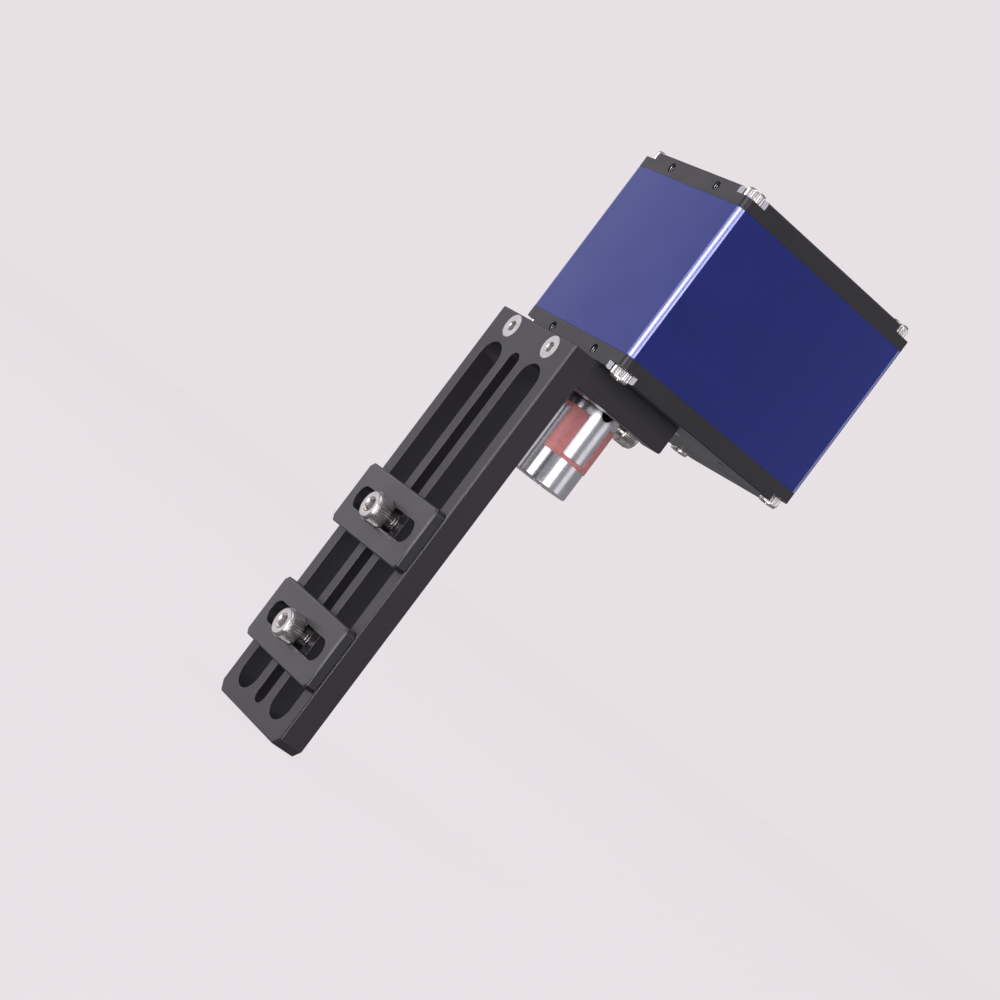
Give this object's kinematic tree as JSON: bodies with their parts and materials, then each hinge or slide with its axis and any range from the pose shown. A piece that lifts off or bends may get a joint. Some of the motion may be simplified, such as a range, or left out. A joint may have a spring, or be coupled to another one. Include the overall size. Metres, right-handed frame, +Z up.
{
  "type": "telescope focus motor",
  "caption": "Boxed gear motor on an L bracket with a slotted clamping rail, driving a focuser shaft through a jaw coupling.",
  "frame": {"origin": "mouth of the lower coupling hub's bore, on the drive axis, where the focuser shaft enters", "axes": "+Z up along the drive axis, towards the motor box; +X from the drive axis towards the rail; +Y towards the wide side of the box"},
  "size_m": [0.0675, 0.0456, 0.1496],
  "materials": {
    "blue_anodised_tube": "satin blue anodised extrusion",
    "black_anodised_plate": "fine-milled black anodised",
    "black_anodised_bracket": "bead-blasted black anodised",
    "black_anodised_clamp": "milled black anodised",
    "stainless_screw": "turned and polished stainless steel",
    "black_steel_screw": "black oxide steel",
    "polished_aluminium": "turned and polished",
    "red_elastomer": "moulded, slightly translucent",
    "ground_steel": "ground",
    "bronze_bush": "sintered bronze",
    "brass_gear": "hobbed brass",
    "ferrite": "pressed ferrite",
    "plated_steel": "zinc plated, satin",
    "copper_coil": "enamelled copper wire",
    "moulded_block": "fine moulded plastic",
    "ribbon_insulation": "flexible insulation",
    "board_laminate": "solder-masked laminate",
    "chip_package": "moulded epoxy",
    "clear_light": "clear lens"
  },
  "bodies": {
    "root": {"board_screws": "stainless_screw", "board_standoffs": "plated_steel", "circuit_board": "board_laminate", "control_chip": "chip_package", "data_socket": "plated_steel", "driver_chip": "chip_package", "first_axle": "ground_steel", "foot_block": "black_anodised_bracket", "foot_screws": "stainless_screw", "front_plate": "black_anodised_plate", "front_plate_screws": "stainless_screw", "gearbox_cover": "plated_steel", "gearbox_plate": "plated_steel", "handset_socket": "moulded_block", "lower_coil": "copper_coil", "lower_front_poles": "plated_steel", "lower_rear_poles": "plated_steel", "motor_can": "plated_steel", "motor_ribbon": "ribbon_insulation", "motor_screws": "stainless_screw", "motor_socket": "moulded_block", "output_bush": "bronze_bush", "power_socket": "moulded_block", "rail_screws": "stainless_screw", "rear_plate": "black_anodised_plate", "rear_plate_screws": "stainless_screw", "rotor_front_bush": "bronze_bush", "rotor_rear_bush": "bronze_bush", "second_axle": "ground_steel", "slotted_rail": "black_anodised_bracket", "status_light": "clear_light", "terminal_block": "moulded_block", "tube_body": "blue_anodised_tube", "upper_coil": "copper_coil", "upper_front_poles": "plated_steel", "upper_rear_poles": "plated_steel"},
    "output": {"output_gear": "brass_gear", "output_shaft": "ground_steel", "upper_hub": "polished_aluminium", "spider": "red_elastomer", "lower_hub": "polished_aluminium", "upper_hub_cap_screw": "stainless_screw", "upper_hub_set_screw": "black_steel_screw", "lower_hub_set_screws": "black_steel_screw"},
    "second_gear": {"second_gear": "brass_gear"},
    "first_gear": {"first_gear": "brass_gear"},
    "rotor": {"rotor_pinion": "brass_gear", "rotor_shaft": "ground_steel", "rotor_magnet": "ferrite"},
    "upper_clamp_screw": {"upper_clamp_screw": "stainless_screw"},
    "upper_clamp_plate": {"upper_clamp_plate": "black_anodised_clamp"},
    "lower_clamp_screw": {"lower_clamp_screw": "stainless_screw"},
    "lower_clamp_plate": {"lower_clamp_plate": "black_anodised_clamp"}
  },
  "joints": [
    {"name": "output_turn", "type": "hinge", "parent": "root", "child": "output", "pos_m": [0, 0, 0.02], "axis": [0, 0, 1], "continuous": true},
    {"name": "rotor_turn", "type": "hinge", "parent": "root", "child": "rotor", "pos_m": [-0.01105, 0, 0.045], "axis": [0, 0, 1], "continuous": true},
    {"name": "first_gear_turn", "type": "hinge", "parent": "root", "child": "first_gear", "pos_m": [-0.01105, 0.0084, 0.0368], "axis": [0, 0, 1], "continuous": true},
    {"name": "second_gear_turn", "type": "hinge", "parent": "root", "child": "second_gear", "pos_m": [-0.00669, 0.00122, 0.0345], "axis": [0, 0, 1], "continuous": true},
    {"name": "upper_clamp_slide", "type": "slide", "parent": "root", "child": "upper_clamp_screw", "axis": [0, 0, 1], "range_m": [-0.007, 0.039]},
    {"name": "upper_clamp_plate_slide", "type": "slide", "parent": "upper_clamp_screw", "child": "upper_clamp_plate", "axis": [0, 1, 0], "range_m": [-0.011, 0.011]},
    {"name": "lower_clamp_slide", "type": "slide", "parent": "root", "child": "lower_clamp_screw", "axis": [0, 0, 1], "range_m": [-0.014, 0.007]},
    {"name": "lower_clamp_plate_slide", "type": "slide", "parent": "lower_clamp_screw", "child": "lower_clamp_plate", "axis": [0, 1, 0], "range_m": [-0.011, 0.011]}
  ],
  "couplings": [
    {"joint": "first_gear_turn", "follows": "rotor_turn", "ratio": -0.3125},
    {"joint": "second_gear_turn", "follows": "rotor_turn", "ratio": 0.097656},
    {"joint": "output_turn", "follows": "rotor_turn", "ratio": -0.04069}
  ]
}
